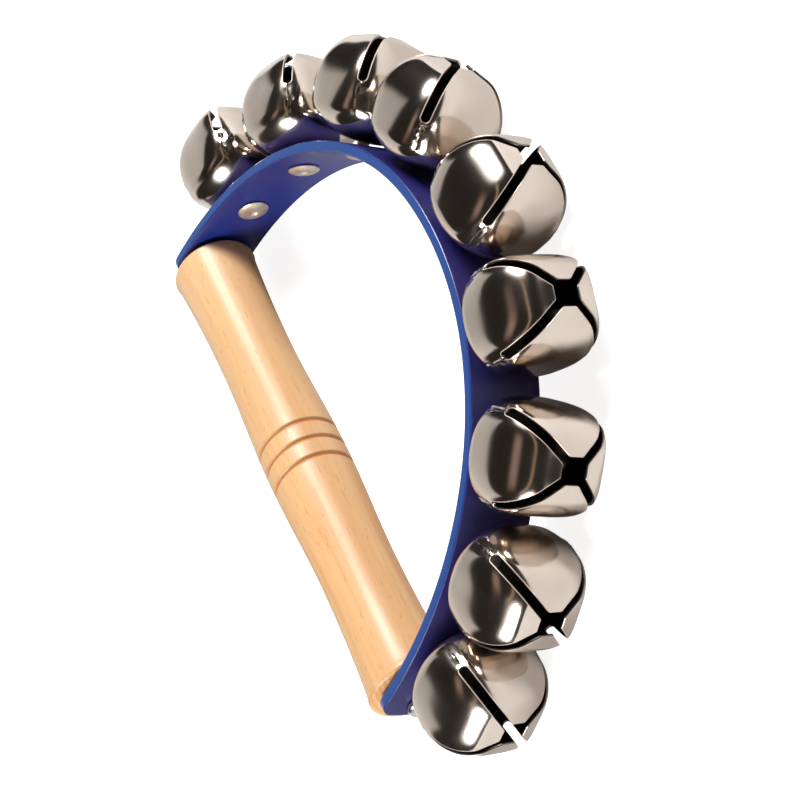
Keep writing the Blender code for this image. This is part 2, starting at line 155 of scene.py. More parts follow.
# Studio: each lamp's name, azimuth and height in degrees, size in metres and power in watts
LAMPS = (
    ("window_behind", 40, 39, (0.5, 0.42), 22),
    ("window_front", 245, 29, (0.44, 0.44), 14),
)
LAMP_DISTANCE = 1.2
FLOOR_REACH = 4.0
FLOOR_GREY = (0.62, 0.615, 0.61)
FLOOR_LIFT = 0.85

# The dark room that the metal mirrors, with azimuths and halos in degrees. Every other place is on a
# ball of radius 1 round the ring. A START pair says where something begins and where it is full, and
# any other pair says where it is full and where it has faded.
TENT_RADIUS = 1.7
TENT_BOTTOM = -0.05
STUDIO_DARK = (0.022, 0.019, 0.016)
HALO_INSIDE = 1
HALO_OUTSIDE = 14
HALO_FALLOFF = 1.5
SWEEP_AZIMUTH = 140
SWEEP_START = (0, 0.1)
SWEEP_SIDES = (0.47, 0.56)
SWEEP_TOP = (0.65, 0.71)
SWEEP_PAPER = (1, 0.98, 0.95)
CEILING_GLOW = (0.31, 0.22, 0.187)
GLOW_FORTH, GLOW_FORTH_EDGES = -0.04, (0.03, 0.2)
GLOW_ASIDE, GLOW_ASIDE_EDGES = -0.1, (0.05, 0.5)
RAIL_GLOW = (0.36, 0.27, 0.165)
RAIL_AZIMUTH = 303
RAIL_HEIGHT = 0.805
RAIL_EDGES = (0.012, 0.045)
RAIL_START = (0.15, 0.32)

# The photograph's camera, with its place measured from the grip's middle
CAMERA_LENS = 106.2
CAMERA_SENSOR = 36
CAMERA_PLACE = (0.35392410, -0.33995271, 0.32448088)
CAMERA_RIGHT = (0.44905913, -0.37451675, -0.81122321)
CAMERA_UP = (0.69151742, 0.72061983, 0.05010707)

grip_low, grip_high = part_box("grip")
strap_low, strap_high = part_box("strap")
centre = (grip_low + grip_high) / 2
grip_end_radius = (grip_high.x - grip_low.x) / 2
grip_skin_radius = grip_end_radius - GRIP_SKIN_INSET
half_grip = (grip_high.y - grip_low.y) / 2 + SEAT_GAP
strap_width = strap_high.z - strap_low.z
strap_reach = strap_high.x - centre.x - STRAP_THICKNESS
strap_span = strap_reach + STRAP_ROOT
bell_radius = (BELL_WIDTH_ALONG + BELL_WIDTH_ACROSS) / 4
glint_strips = len(GLINT_STRIP_COLUMNS) - 1
last_bell_from_grip = grip_end_radius + RIVET_HEAD_RADIUS + SEAT_GAP
to_frame = Matrix.Translation(centre)


class Field:
    """A value that changes over a surface. Arithmetic on fields adds Math nodes."""

    def __init__(self, finish, socket):
        self.finish = finish
        self.socket = socket

    def reckon(self, operation, *values):
        return self.finish.node("ShaderNodeMath", {"operation": operation}, dict(enumerate(values)))

    def __add__(self, other):
        return self.reckon("ADD", self, other)

    __radd__ = __add__

    def __sub__(self, other):
        return self.reckon("SUBTRACT", self, other)

    def __rsub__(self, other):
        return self.reckon("SUBTRACT", other, self)

    def __mul__(self, other):
        return self.reckon("MULTIPLY", self, other)

    __rmul__ = __mul__

    def __pow__(self, other):
        return self.reckon("POWER", self, other)

    def sine(self):
        return self.reckon("SINE", self)

    def highest(self, other):
        return self.reckon("MAXIMUM", self, other)

    def distance_from(self, value):
        return self.reckon("ABSOLUTE", self - value)

    def near(self, value, full, faded):
        """1 within one distance of a value, and 0 from another distance on."""
        return 1 - self.distance_from(value).smooth_step(full, faded)

    def smooth_step(self, start, end):
        return self.finish.node(
            "ShaderNodeMapRange", {"interpolation_type": "SMOOTHSTEP"}, {"Value": self, 1: start, 2: end}
        )


class Finish:
    """A node tree of one material or of the world, with its fields."""

    def __init__(self, owner):
        owner.use_nodes = True
        self.owner = owner
        self.tree = owner.node_tree

    def node(self, kind, settings=None, inputs=None, output=0):
        """A new node's output. Each input is a field to link or a value to set."""
        node = self.tree.nodes.new(kind)
        for name, value in (settings or {}).items():
            setattr(node, name, value)
        for key, value in (inputs or {}).items():
            if isinstance(value, Field):
                self.tree.links.new(value.socket, node.inputs[key])
            else:
                node.inputs[key].default_value = value
        return Field(self, node.outputs[output])

    def place(self, scale=(1, 1, 1), move=(0, 0, 0)):
        """Object coordinates, scaled and then moved."""
        spot = self.node("ShaderNodeTexCoord", output=3)
        return self.node("ShaderNodeMapping", None, {"Vector": spot, "Scale": scale, "Location": move})

    def part(self, vector, axis):
        return self.node("ShaderNodeSeparateXYZ", None, {0: vector}, output="XYZ".index(axis))

    def toward(self, vector, direction):
        """How far a vector goes in a direction."""
        return self.node("ShaderNodeVectorMath", {"operation": "DOT_PRODUCT"}, {0: vector, 1: direction}, 1)

    def grain(self, vector, scale, detail=2, roughness=0.5):
        """Noise from 0 to 1, mostly near 0.5."""
        inputs = {"Vector": vector, "Scale": scale, "Detail": detail, "Roughness": roughness}
        return self.node("ShaderNodeTexNoise", None, inputs)

    def blend(self, factor, first, second, kind="MIX"):
        """One colour over another."""
        settings = {"data_type": "RGBA", "blend_type": kind}
        return self.node("ShaderNodeMix", settings, {0: factor, 6: first, 7: second}, output=2)


def new_finish(name, colour, roughness, metallic=0.0, **constants):
    """A Principled material. Constants are socket names with _ for a space."""
    finish = Finish(bpy.data.materials.new(name))
    shader = finish.tree.nodes["Principled BSDF"]
    finish.shader = shader
    shader.inputs["Base Color"].default_value = (*colour, 1)
    shader.inputs["Roughness"].default_value = roughness
    shader.inputs["Metallic"].default_value = metallic
    for socket, value in constants.items():
        shader.inputs[socket.replace("_", " ")].default_value = value
    return finish


def vary(finish, **fields):
    """Feed fields into the material's sockets. relief goes through a Bump node."""
    for name, field in fields.items():
        if name == "relief":
            height, distance = field
            inputs = {"Strength": 1.0, "Distance": distance, "Height": height}
            bump = finish.node("ShaderNodeBump", None, inputs)
            finish.tree.links.new(bump.socket, finish.shader.inputs["Normal"])
        else:
            finish.tree.links.new(field.socket, finish.shader.inputs[name.replace("_", " ")])


def colour(red, green, blue):
    """A colour socket's value from 0 to 255 screen values."""
    return (*(((v / 255 + 0.055) / 1.055) ** 2.4 for v in (red, green, blue)), 1)


def nickel_finish():
    finish = new_finish("polished_nickel", (0.72, 0.69, 0.65), 0.09, 1.0)
    place = finish.place()
    cloud = finish.grain(place, 55, 3)
    speck = finish.grain(place, 2600, 2, 0.7)
    tint = finish.blend(cloud.smooth_step(0.35, 0.75), colour(224, 212, 201), colour(212, 199, 187))
    rough = 0.1 + 0.06 * cloud.smooth_step(0.4, 0.7) + 0.06 * speck
    vary(finish, Base_Color=tint, Roughness=rough, relief=(finish.grain(place, 160, 1), 0.000006))
    return finish.owner


def cut_edge_finish():
    finish = new_finish("nickel_cut_edge", (0.3, 0.26, 0.23), 0.28, 1.0)
    place = finish.place()
    rough = 0.22 + 0.2 * finish.grain(place, 1500, 2)
    vary(finish, Roughness=rough)
    return finish.owner


def painted_glint_finish():
    """Painted highlight: a pale pinkish strip along every cut edge of a bell, for the glint such an edge
    would catch.
    """
    finish = new_finish("nickel_painted_glint", (0.62, 0.49, 0.43), 0.4, 0.4)
    rough = 0.3 + 0.25 * finish.grain(finish.place(), 1800, 2)
    vary(finish, Roughness=rough)
    return finish.owner


def bell_inside_finish():
    # Painted shade: the inside of each bell is painted near black, as it lies in shade behind the slots;
    # blotches vary it a little.
    finish = new_finish("nickel_inside_painted_shade", (0.05, 0.045, 0.04), 0.5, 1.0)
    place = finish.place()
    shade_blotch = finish.grain(place, 200, 4)
    tint = finish.blend(shade_blotch.smooth_step(0.3, 0.7), (0.045, 0.04, 0.036, 1), (0.1, 0.085, 0.07, 1))
    vary(finish, Base_Color=tint, Roughness=0.4 + 0.2 * shade_blotch)
    return finish.owner


def rivet_finish():
    finish = new_finish("rivet_nickel", (0.8, 0.76, 0.72), 0.3, 0.8)
    place = finish.place()
    cloud = finish.grain(place, 420, 3)
    tint = finish.blend(cloud.smooth_step(0.35, 0.7), colour(236, 229, 220), colour(208, 193, 178))
    vary(finish, Base_Color=tint, Roughness=0.26 + 0.2 * cloud, relief=(finish.grain(place, 900, 2), 0.00002))
    return finish.owner


def screw_finish():
    finish = new_finish("screw_zinc", (0.72, 0.72, 0.72), 0.22, 1.0)
    place = finish.place()
    cloud = finish.grain(place, 600, 3)
    tint = finish.blend(cloud, colour(214, 214, 214), colour(182, 181, 180))
    vary(finish, Base_Color=tint, Roughness=0.16 + 0.2 * cloud)
    return finish.owner


def pellet_finish():
    finish = new_finish("pellet_steel", (0.35, 0.34, 0.33), 0.35, 1.0)
    place = finish.place()
    cloud = finish.grain(place, 500, 3)
    tint = finish.blend(cloud.smooth_step(0.3, 0.7), (0.3, 0.29, 0.28, 1), (0.16, 0.14, 0.12, 1))
    vary(finish, Base_Color=tint, Roughness=0.28 + 0.3 * cloud)
    return finish.owner


def plastic_finish(face, base, cloudy, roughness, coat):
    """Glossy blue plastic. Each face of the strip has its own base colour: painted light and shade for how
    the lamps fall on that face.
    """
    coated = {"Coat_Weight": coat, "Coat_Roughness": 0.06}
    finish = new_finish(f"blue_plastic_painted_light_{face}", base[:3], roughness, **coated)
    place = finish.place()
    cloud = finish.grain(place, 60, 3)
    scuff = finish.grain(finish.place(scale=(1, 1, 5)), 900, 3, 0.65)
    tint = finish.blend(cloud.smooth_step(0.3, 0.75), base, cloudy)
    rough = roughness + 0.1 * cloud + 0.14 * scuff.smooth_step(0.6, 0.8)
    vary(finish, Base_Color=tint, Roughness=rough, relief=(finish.grain(place, 260, 2), 0.00002))
    return finish.owner


def strap_finishes():
    # Painted light and shade: the edge facing up is painted bright blue, the outer face dark navy and the
    # inner face in between.
    outer = plastic_finish("outer", colour(26, 26, 88), colour(38, 30, 96), 0.42, 0)
    inner = plastic_finish("inner", colour(22, 42, 120), colour(38, 42, 116), 0.34, 0.35)
    edge = plastic_finish("edge", colour(0, 56, 126), colour(10, 56, 124), 0.26, 0.5)
    return [outer, inner, edge]


def beech_finish():
    """Beech with its grain along Y, dark flecks, burnt grooves, a lacquer worn at PALM_PLACE and a painted
    highlight that makes its upper end paler.
    """
    lacquer = {"Coat_Weight": 0.2, "Coat_Roughness": 0.27}
    finish = new_finish("lacquered_beech", (0.85, 0.55, 0.27), 0.46, **lacquer)
    centred = finish.place(move=tuple(-c for c in centre))
    streaks = finish.grain(finish.place(scale=(1, 0.035, 1)), 700, 4, 0.6)
    bands = finish.grain(finish.place(scale=(1, 0.05, 1)), 130, 3)
    flecks = finish.grain(finish.place(scale=(1, 0.11, 1)), 2400, 2, 0.6)
    clouds = finish.grain(centred, 28, 2)
    along = finish.part(centred, "Y")
    wood = finish.blend(bands.smooth_step(0.3, 0.7), colour(221, 173, 124), colour(208, 154, 102))
    wood = finish.blend(streaks.smooth_step(0.42, 0.75) * 0.45, wood, colour(200, 137, 82))
    wood = finish.blend(clouds.smooth_step(0.45, 0.75) * 0.3, wood, colour(213, 157, 101))
    wood = finish.blend(flecks.smooth_step(0.62, 0.72) * 0.5, wood, colour(170, 105, 57))
    # Painted highlight: the upper end is painted paler and cooler and the lower end a little darker, for the
    # lamps' glare along the grip.
    painted_highlight_tone = finish.blend(along.smooth_step(-0.04, 0.04), (0.93, 0.97, 0.97, 1), (0.95, 1.08, 1.2, 1))
    wood = finish.blend(1, wood, painted_highlight_tone, "MULTIPLY")
    from_middle = along.distance_from(0)
    for groove in (0, GROOVE_PITCH):
        scorch = from_middle.near(groove, 0.1 * GROOVE_WIDTH, 0.45 * GROOVE_WIDTH)
        wood = finish.blend(scorch * (0.5 + 0.4 * clouds), wood, colour(174, 96, 30))
    relief = streaks * 0.6 + flecks * 0.4
    coat = 0.26 - 0.2 * along.near(PALM_PLACE, 0.01, 0.032)
    rough = 0.42 + 0.16 * streaks
    vary(finish, Base_Color=wood, Roughness=rough, Coat_Weight=coat, relief=(relief, 0.00005))
    return finish.owner


def end_grain_finish():
    """The same beech across the grain: faint rings round a centre beside the axis."""
    finish = new_finish("beech_end_grain", (0.7, 0.42, 0.2), 0.45, Coat_Weight=0.3, Coat_Roughness=0.3)
    place = finish.place(move=(-centre.x - 0.02, 0, -centre.z + 0.013))
    wobble = finish.grain(place, 60, 3)
    flat = finish.node("ShaderNodeVectorMath", {"operation": "MULTIPLY"}, {0: place, 1: (1, 0, 1)})
    radius = finish.node("ShaderNodeVectorMath", {"operation": "LENGTH"}, {0: flat}, output=1)
    rings = ((radius + 0.003 * wobble) * 4200).sine()
    tint = finish.blend(rings.smooth_step(-0.8, 1.0) * 0.5, colour(222, 170, 112), colour(188, 128, 76))
    pores = finish.grain(place, 4200, 2)
    tint = finish.blend(pores.smooth_step(0.55, 0.7) * 0.4, tint, colour(150, 98, 56))
    vary(finish, Base_Color=tint, Roughness=0.4 + 0.2 * pores)
    return finish.owner


def finished_piece(name, bm, material, body, slot, *replaced, smooth_angle=35):
    """Turn a bmesh into a piece that rides on its body and stands for its CAD nodes."""
    mesh = bpy.data.meshes.new(name)
    bm.to_mesh(mesh)
    bm.free()
    for one in material if isinstance(material, list) else [material]:
        mesh.materials.append(one)
    mesh.shade_smooth()
    mesh.set_sharp_from_angle(angle=math.radians(smooth_angle))
    piece = bpy.data.objects.new(name, mesh)
    bpy.context.scene.collection.objects.link(piece)
    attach(piece, body)
    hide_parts(*replaced)
    return piece


def thicken(piece, thickness):
    """Thicken a skin inwards. A face's inside takes the material after its own, and its rim the next one."""
    wall = piece.modifiers.new("thickness", "SOLIDIFY")
    wall.thickness = thickness
    wall.offset = -1
    wall.use_even_offset = True
    wall.material_offset = 1
    wall.material_offset_rim = 2


def round_edges(piece, radius):
    bevel = piece.modifiers.new("rounded_edges", "BEVEL")
    bevel.width = radius
    bevel.segments = 4
    bevel.limit_method = "ANGLE"
    bevel.angle_limit = math.radians(40)
    bevel.harden_normals = True


def face_outwards(bm):
    """Turn the faces of an open skin so that the one farthest along X looks that way."""
    bmesh.ops.recalc_face_normals(bm, faces=bm.faces)
    farthest = max(bm.faces, key=lambda face: face.calc_center_median().x)
    if farthest.normal.x < 0:
        bmesh.ops.reverse_faces(bm, faces=bm.faces)


def spun(profile, sides):
    """A bmesh turned about Z from (radius, height) points; a point with no radius lies on the axis."""
    bm = bmesh.new()
    verts = [bm.verts.new((radius, 0, height)) for radius, height in profile]
    edges = [bm.edges.new(pair) for pair in zip(verts, verts[1:])]
    turn = {"cent": (0, 0, 0), "axis": (0, 0, 1), "angle": math.tau, "steps": sides, "use_merge": True}
    bmesh.ops.spin(bm, geom=verts + edges, **turn)
    bmesh.ops.remove_doubles(bm, verts=bm.verts, dist=MERGE_DISTANCE)
    bmesh.ops.recalc_face_normals(bm, faces=bm.faces)
    return bm


def facing_out(point, normal):
    """A frame on the strap's outer face: its Z points away from the strap, its X runs along it."""
    out = Vector((normal.x, normal.y, 0))
    across = Vector((0, 0, 1))
    facing = Matrix((across.cross(out), across, out)).transposed().to_4x4()
    facing.translation = (point.x, point.y, 0)
    return facing


def normal_at(points, i):
    """The outward normal of a path that runs from +Y round +X to -Y."""
    along = points[min(i + 1, len(points) - 1)] - points[max(i - 1, 0)]
    return Vector((-along.y, along.x)).normalized()


class StrapPath:
    """The strap's outer face seen along Z, from its upper end round to its lower one."""

    STEPS = 720

    def __init__(self):
        inner = []
        power = 2 / STRAP_FULLNESS
        for i in range(self.STEPS + 1):
            angle = math.pi * i / self.STEPS
            x = strap_span * abs(math.sin(angle)) ** power - STRAP_ROOT
            y = half_grip * math.copysign(abs(math.cos(angle)) ** power, math.cos(angle))
            inner.append(Vector((x, y)))
        tail = Vector((STRAP_TAIL - STRAP_ROOT, 0))
        inner = [inner[0] - tail, *inner, inner[-1] - tail]
        self.points = [p + normal_at(inner, i) * STRAP_THICKNESS for i, p in enumerate(inner)]
        self.distances = [0.0]
        for before, after in zip(self.points, self.points[1:]):
            self.distances.append(self.distances[-1] + (after - before).length)
        self.length = self.distances[-1]

    def at(self, distance):
        i = min(max(bisect_left(self.distances, distance), 1), len(self.points) - 1)
        share = (distance - self.distances[i - 1]) / (self.distances[i] - self.distances[i - 1])
        point = self.points[i - 1].lerp(self.points[i], share)
        normal = normal_at(self.points, i - 1).lerp(normal_at(self.points, i), share)
        return point, normal.normalized()

    def seats(self):
        """Where the bells sit: spread evenly between the two ends of the grip."""
        first = STRAP_TAIL + FIRST_BELL_FROM_GRIP
        last = self.length - STRAP_TAIL - last_bell_from_grip
        pitch = (last - first) / (BELL_COUNT - 1)
        return [facing_out(*self.at(first + pitch * i + shift)) for i, shift in enumerate(BELL_SHIFT)]


def add_strap(path, materials):
    """A flat grid bent along the path, given its thickness and rounded edges."""
    bm = bmesh.new()
    bmesh.ops.create_grid(bm, x_segments=STRAP_COLUMNS, y_segments=STRAP_ROWS, size=0.5)
    half_width = strap_width / 2
    for vert in bm.verts:
        share = vert.co.x + 0.5
        spread = 0.5 - 0.5 * math.cos(math.pi * share)
        distance = path.length * (STRAP_END_CROWDING * spread + (1 - STRAP_END_CROWDING) * share)
        to_end = min(distance, path.length - distance)
        inset = 0.0
        if to_end < STRAP_CORNER_RADIUS:
            rise = STRAP_CORNER_RADIUS - to_end
            inset = STRAP_CORNER_RADIUS - math.sqrt(STRAP_CORNER_RADIUS ** 2 - rise ** 2)
        point, _ = path.at(distance)
        vert.co = (point.x, point.y, 2 * vert.co.y * (half_width - inset))
    bmesh.ops.remove_doubles(bm, verts=bm.verts, dist=MERGE_DISTANCE)
    face_outwards(bm)
    bmesh.ops.transform(bm, matrix=to_frame, verts=bm.verts)
    strap = finished_piece("blue_strap", bm, materials, "ring", "strap_plastic", "strap")
    thicken(strap, STRAP_THICKNESS)
    round_edges(strap, STRAP_EDGE_RADIUS)


def grip_radius(along):
    """Swollen at mid length, waisted at each quarter, flared at both ends."""
    share = abs(along) / half_grip
    if share < 0.5:
        swell = (1 + math.cos(math.tau * share)) / 2
        return GRIP_WAIST_RADIUS + (GRIP_MIDDLE_RADIUS - GRIP_WAIST_RADIUS) * swell
    return GRIP_WAIST_RADIUS + (grip_skin_radius - GRIP_WAIST_RADIUS) * (2 * share - 1) ** 2


def groove_depth_at(along):
    """Round-bottomed grooves at mid length."""
    nearest = min(abs(abs(along) - level) for level in (0, GROOVE_PITCH))
    share = min(nearest / (GROOVE_WIDTH / 2), 1)
    return GROOVE_DEPTH * (0.5 + 0.5 * math.cos(math.pi * share)) ** GROOVE_FULLNESS


def add_grip(wood, end_grain):
    """The grip turned from its half profile, from the middle of an end face to mid length and mirrored."""
    top = half_grip - SEAT_GAP
    rim_level = top - GRIP_END_CROWN - GRIP_EDGE_RADIUS
    half = [(share * grip_skin_radius, top - drop * GRIP_END_CROWN) for share, drop in GRIP_END_PROFILE]
    grooves_end = GROOVE_PITCH + GROOVE_WIDTH
    edge_steps, long_steps, groove_steps = 7, 60, 80
    for i in range(edge_steps + 1):
        angle = math.radians(GRIP_EDGE_TURN * (1 - i / edge_steps))
        radius = grip_skin_radius - GRIP_EDGE_RADIUS + GRIP_EDGE_RADIUS * math.cos(angle)
        half.append((radius, rim_level + GRIP_EDGE_RADIUS * math.sin(angle)))
    for i in range(1, long_steps + 1):
        level = rim_level + (grooves_end - rim_level) * i / long_steps
        half.append((grip_radius(level), level))
    for i in range(1, groove_steps + 1):
        level = grooves_end * (1 - i / groove_steps)
        half.append((grip_radius(level) - groove_depth_at(level), level))
    profile = half + [(radius, -level) for radius, level in reversed(half[:-1])]
    bm = spun(profile, GRIP_SIDES)
    lay_down = to_frame @ Matrix.Rotation(-math.pi / 2, 4, "X")
    for face in bm.faces:
        if abs(face.calc_center_median().z) > rim_level + 0.7 * GRIP_EDGE_RADIUS:
            face.material_index = 1
    bmesh.ops.transform(bm, matrix=lay_down, verts=bm.verts)
    finished_piece("wooden_grip", bm, [wood, end_grain], "ring", "grip_wood", "grip", smooth_angle=60)


def eased(share):
    """0 to 1 with a soft start and end."""
    share = min(max(share, 0), 1)
    return share ** 2 * (3 - 2 * share)


def squareness(level):
    """Exponent of the bell's cross-section: round at the base, squarer towards the crown."""
    return 2 + (BELL_CROWN_SQUARENESS - 2) * eased(level / BELL_SQUARED_LEVEL)


def base_level(radius):
    return BELL_WIDEST_LEVEL * (1 - math.sqrt(1 - min(radius / bell_radius, 1) ** 2))


def crown_level(half_side):
    """The petals climb a little more steeply near their tips than the rest of the crown."""
    share = half_side / bell_radius
    crown, tip = ((1 - share ** power) ** (1 / power) for power in (BELL_CROWN_FULLNESS, BELL_TIP_FULLNESS))
    blend = eased((TIP_BLEND_END - share) / (TIP_BLEND_END - TIP_BLEND_START))
    return BELL_WIDEST_LEVEL + (BELL_HEIGHT - BELL_WIDEST_LEVEL) * (crown + (tip - crown) * blend)


def crown_half_side(level):
    power = BELL_CROWN_FULLNESS
    rise = max(level - BELL_WIDEST_LEVEL, 0) / (BELL_HEIGHT - BELL_WIDEST_LEVEL)
    return bell_radius * (1 - rise ** power) ** (1 / power)


def petal_edge(level, half_side, gap):
    """Half width of a petal where its edge runs along the slot, gap away from the slot's middle."""
    power = squareness(level)
    half = half_side * 2 ** (-1 / power) - gap
    for _ in range(PETAL_EDGE_PASSES):
        half = (half_side ** power - half ** power) ** (1 / power) - gap * math.sqrt(2)
    return half


def petal_tip(angle):
    """(half side, half width) on a petal's blunt tip, at this angle round its corner."""
    straight = PETAL_TIP_RADIUS - SLOT_WIDTH * math.sqrt(0.5) - PETAL_TIP_CORNER * math.tan(math.pi / 8)
    side = PETAL_TIP_RADIUS + PETAL_TIP_CORNER * (1 - math.cos(angle))
    return side, straight + PETAL_TIP_CORNER * math.sin(angle)


def bell_rows():
    """(level, half side, half width of the petal) from the rivet hole to the petal tips."""
    seat = base_level(BELL_SEAT_RADIUS)
    sides = [(seat, RIVET_SHANK_RADIUS + 2 * SEAT_GAP), (seat, 0.9 * BELL_SEAT_RADIUS)]
    first = math.asin(BELL_SEAT_RADIUS / bell_radius)
    base_steps, side_steps, end_steps, crown_steps, tip_steps = 26, 12, 8, 30, 7
    for i in range(base_steps + 1):
        radius = bell_radius * math.sin(first + (math.pi / 2 - first) * i / base_steps)
        sides.append((base_level(radius), radius))
    for i in range(1, side_steps):
        level = BELL_WIDEST_LEVEL + (SLOT_END_LEVEL - BELL_WIDEST_LEVEL) * i / side_steps
        sides.append((level, crown_half_side(level)))
    rows = [(level, side, petal_edge(level, side, 0)) for level, side in sides]
    slot_half = SLOT_WIDTH / 2
    for i in range(end_steps + 1):
        angle = math.pi / 2 * i / end_steps
        level = SLOT_END_LEVEL + slot_half * (1 - math.cos(angle))
        side = crown_half_side(level)
        rows.append((level, side, petal_edge(level, side, slot_half * math.sin(angle))))
    start = math.acos(side / bell_radius)
    end = math.acos(petal_tip(math.pi / 4)[0] / bell_radius)
    for i in range(1, crown_steps + 1):
        side = bell_radius * math.cos(start + (end - start) * i / crown_steps)
        level = crown_level(side)
        rows.append((level, side, petal_edge(level, side, slot_half)))
    for i in range(1, tip_steps + 1):
        side, half = petal_tip(math.pi / 4 * (1 - i / tip_steps))
        level = crown_level(side)
        rows.append((level, side, min(half, petal_edge(level, side, slot_half))))
    return rows


def gathers(across, below, number, corner):
    """How far the folds below a slot's end stand out, from the distances to the slot's middle and end."""
    if below < 0 or below > FOLD_LENGTH:
        return 0
    run = below / FOLD_LENGTH
    swell = math.sin(math.pi * min(run * 1.15 + 0.06, 1))
    ripple = 0.25 * math.sin(3 * math.pi * run)
    seed = Vector((number * 3.1 + corner * 7.7, below * 170, 0.3))
    aside = across - (noise.noise(seed) + 0.6 * noise.noise(seed * 2.7)) * FOLD_SWAY
    spacing = FOLD_SPACING * (0.75 + 0.5 * run) * (1 + 0.3 * noise.noise(seed + Vector((11, 0, 4))))
    spread = math.exp(-(aside / (1.15 * FOLD_SPACING)) ** 2)
    lump = 0.95 + 0.2 * noise.noise(Vector((across * 450, below * 220, number * 2.3 + corner)))
    wave = math.cos(math.tau * aside / spacing + 0.6 * math.sin(number * 2 + corner))
    return FOLD_HEIGHT * (swell + ripple) * spread * lump * wave


def column_place(column, half):
    """How far from a petal's middle a column of the grid lies: the outer ones keep the painted glint strip's
    width.
    """
    from_edge = min(column, PETAL_COLUMNS - column)
    glint_width = min(GLINT_STRIP_WIDTH, half / 6)
    if from_edge <= glint_strips:
        across = half - glint_width * GLINT_STRIP_COLUMNS[from_edge]
    else:
        across = (half - glint_width) * (1 - (from_edge - glint_strips) / (PETAL_COLUMNS / 2 - glint_strips))
    return -across if column < PETAL_COLUMNS / 2 else across


def bell_quarter():
    """One petal and its quarter of the base as a grid, bent into the bell's shape."""
    bm = bmesh.new()
    rows = bell_rows()
    seat = base_level(BELL_SEAT_RADIUS)
    bmesh.ops.create_grid(bm, x_segments=len(rows) - 1, y_segments=PETAL_COLUMNS, size=0.5)
    for face in bm.faces:
        middle = face.calc_center_median()
        from_edge = (0.5 - abs(middle.y)) * PETAL_COLUMNS
        level = rows[round((middle.x + 0.5) * (len(rows) - 1) - 0.5)][0]
        # Faces along the slot edges above the slot ends take the painted glint.
        if level >= SLOT_END_LEVEL and from_edge < glint_strips:
            face.material_index = 3
    for vert in bm.verts:
        level, half_side, half = rows[round((vert.co.x + 0.5) * (len(rows) - 1))]
        power = squareness(level)
        across = column_place(round((vert.co.y + 0.5) * PETAL_COLUMNS), half)
        outward = (half_side ** power - abs(across) ** power) ** (1 / power)
        vert.co = (outward, across, level - seat)
    return bm


def bell_shape(number):
    """Four quarters joined at the base, with folds below the slots and small dents."""
    bm = bmesh.new()
    for corner in range(4):
        quarter = bell_quarter()
        turn = Matrix.Rotation(corner * math.pi / 2, 3, "Z")
        bmesh.ops.rotate(quarter, verts=quarter.verts, cent=(0, 0, 0), matrix=turn)
        part = bpy.data.meshes.new("quarter")
        quarter.to_mesh(part)
        quarter.free()
        bm.from_mesh(part)
        bpy.data.meshes.remove(part)
    bmesh.ops.remove_doubles(bm, verts=bm.verts, dist=SEAM_DISTANCE)
    oval = [(width / 2 - SKIN_INSET) / bell_radius for width in (BELL_WIDTH_ALONG, BELL_WIDTH_ACROSS)]
    bmesh.ops.scale(bm, verts=bm.verts, vec=(*oval, 1 - SKIN_INSET / BELL_HEIGHT))
    face_outwards(bm)
    bm.normal_update()
    push_out(bm, number)
    return bm


def push_out(bm, number):
    """Move the skin along its normals: folds on the four corners and faint dents all over."""
    moves = []
    slot_end = SLOT_END_LEVEL - base_level(BELL_SEAT_RADIUS)
    for vert in bm.verts:
        x, y, level = vert.co
        corner = math.floor(math.atan2(y, x) / (math.pi / 2))
        middle = math.radians(45 + 90 * corner)
        across = -x * math.sin(middle) + y * math.cos(middle)
        raised = gathers(across, slot_end - FOLD_FROM_SLOT - level, number, corner)
        seed = Vector((x, y, level)) * DENTS_PER_METRE + Vector((number * 5.3, 0, 0))
        dent = DENT_HEIGHT * noise.noise(seed)
        keep = min(level / SMOOTH_NEAR_SEAT, 1)
        moves.append((vert, vert.normal * (raised + dent) * keep))
    for vert, move in moves:
        vert.co += move


def bell_place(i, seat):
    along = math.radians(BELL_LEAN_ALONG[i])
    across = math.radians(BELL_LEAN_ACROSS[i])
    lift = SEAT_GAP + BELL_SEAT_RADIUS * math.sin(math.hypot(along, across))
    leaning = seat @ Matrix.Translation((0, 0, lift))
    leaning = leaning @ Matrix.Rotation(along, 4, "Y") @ Matrix.Rotation(-across, 4, "X")
    return to_frame @ leaning @ Matrix.Rotation(math.radians(BELL_TWIST[i]), 4, "Z")


def add_bell(i, seat, materials):
    number = i + 1
    bm = bell_shape(number)
    bmesh.ops.transform(bm, matrix=bell_place(i, seat), verts=bm.verts)
    bell = finished_piece(f"jingle_bell_{number}", bm, materials, "ring", "bell_nickel", f"bell_{number}")
    thicken(bell, BELL_WALL)


def add_rivet(i, seat, material):
    """The head inside the D: a low dome with a small dimple. Z = 0 is the strap's outer face."""
    number = i + 1
    under = -(STRAP_THICKNESS + SEAT_GAP)
    crown = under - RIVET_HEAD_HEIGHT
    profile = [
        (share * RIVET_DIMPLE_RADIUS, crown + depth * RIVET_DIMPLE_DEPTH)
        for share, depth in RIVET_DIMPLE_PROFILE
    ]
    dome_steps = 10
    for step in range(dome_steps + 1):
        share = step / dome_steps
        radius = RIVET_DOME_START + (RIVET_HEAD_RADIUS - RIVET_DOME_START) * share
        profile.append((radius, crown + RIVET_DOME_DROP * share ** RIVET_DOME_FULLNESS))
    profile += [(RIVET_HEAD_RADIUS, under), (RIVET_SHANK_RADIUS, under), *RIVET_CLENCH]
    bm = spun(profile, SMALL_SIDES)
    bmesh.ops.transform(bm, matrix=to_frame @ seat, verts=bm.verts)
    finished_piece(f"rivet_head_{number}", bm, material, "ring", "rivet_nickel", f"rivet_{number}")


def screw_place(path, sign):
    surface = max(p.y for p in path.points if abs(p.x) < SCREW_HEAD_RADIUS)
    return facing_out(Vector((0, sign * surface)), Vector((0, sign)))


